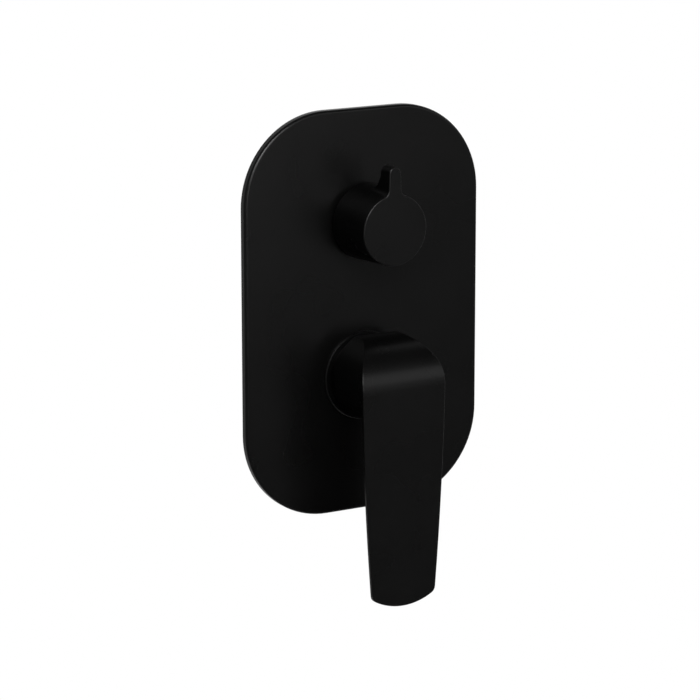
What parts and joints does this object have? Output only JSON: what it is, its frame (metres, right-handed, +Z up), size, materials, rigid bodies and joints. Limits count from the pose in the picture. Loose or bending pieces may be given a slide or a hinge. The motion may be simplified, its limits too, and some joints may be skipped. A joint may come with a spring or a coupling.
{
  "type": "concealed bath shower mixer",
  "caption": "Wall-mounted concealed mixer in matt black: rounded plate, lever for flow and temperature, winged knob that turns water to bath or shower, brass body behind.",
  "frame": {"origin": "centre of the wall plate's back, on the finished wall", "axes": "+Z up, -Y out of the wall towards the user, +X to the user's right"},
  "size_m": [0.13, 0.1055, 0.2395],
  "materials": {
    "matt_black_trim": "satin matt black coat",
    "brass": "cast and turned",
    "cartridge_plastic": "moulded",
    "ceramic": "lapped",
    "seal_rubber": "moulded",
    "steel": "turned"
  },
  "bodies": {
    "fixed": {"wall_plate": "matt_black_trim", "plate_gasket": "seal_rubber", "valve_body": "brass", "hot_inlet_tail": "brass", "cold_inlet_tail": "brass", "shower_outlet_tail": "brass", "bath_outlet_tail": "brass", "cartridge_base": "cartridge_plastic", "cartridge_seals": "seal_rubber", "fixed_disc": "ceramic", "cartridge_housing": "cartridge_plastic", "cartridge_nut": "brass", "lever_collar": "matt_black_trim", "collar_o_ring": "seal_rubber", "diverter_seal": "seal_rubber", "diverter_fixed_disc": "ceramic", "diverter_housing": "brass", "diverter_nut": "brass", "diverter_sleeve": "matt_black_trim", "sleeve_o_ring": "seal_rubber"},
    "rotor": {"stem_holder": "cartridge_plastic", "stem_pivot_pin": "steel"},
    "lever": {"lever_handle": "matt_black_trim", "cartridge_stem": "brass", "lever_grub_screw": "steel", "lever_screw_plug": "seal_rubber"},
    "slider": {"disc_carrier": "cartridge_plastic", "moving_disc": "ceramic"},
    "diverter": {"diverter_knob": "matt_black_trim", "diverter_spindle": "brass", "knob_grub_screw": "steel", "diverter_moving_disc": "ceramic", "spindle_o_ring": "seal_rubber"}
  },
  "joints": [
    {"name": "temperature_turn", "type": "hinge", "parent": "fixed", "child": "rotor", "pos_m": [0, 0, -0.032], "axis": [0, -1, 0], "range_deg": [-45, 45]},
    {"name": "lever_lift", "type": "hinge", "parent": "rotor", "child": "lever", "pos_m": [0, -0.005, -0.032], "axis": [-1, 0, 0], "range_deg": [0, 18]},
    {"name": "disc_slide", "type": "slide", "parent": "rotor", "child": "slider", "axis": [0, 0, -1], "range_m": [0, 0.00354]},
    {"name": "diverter_turn", "type": "hinge", "parent": "fixed", "child": "diverter", "pos_m": [0, 0, 0.045], "axis": [0, 1, 0], "range_deg": [0, 90]}
  ],
  "couplings": [
    {"joint": "disc_slide", "follows": "lever_lift", "m_per_rad": 0.010955}
  ]
}
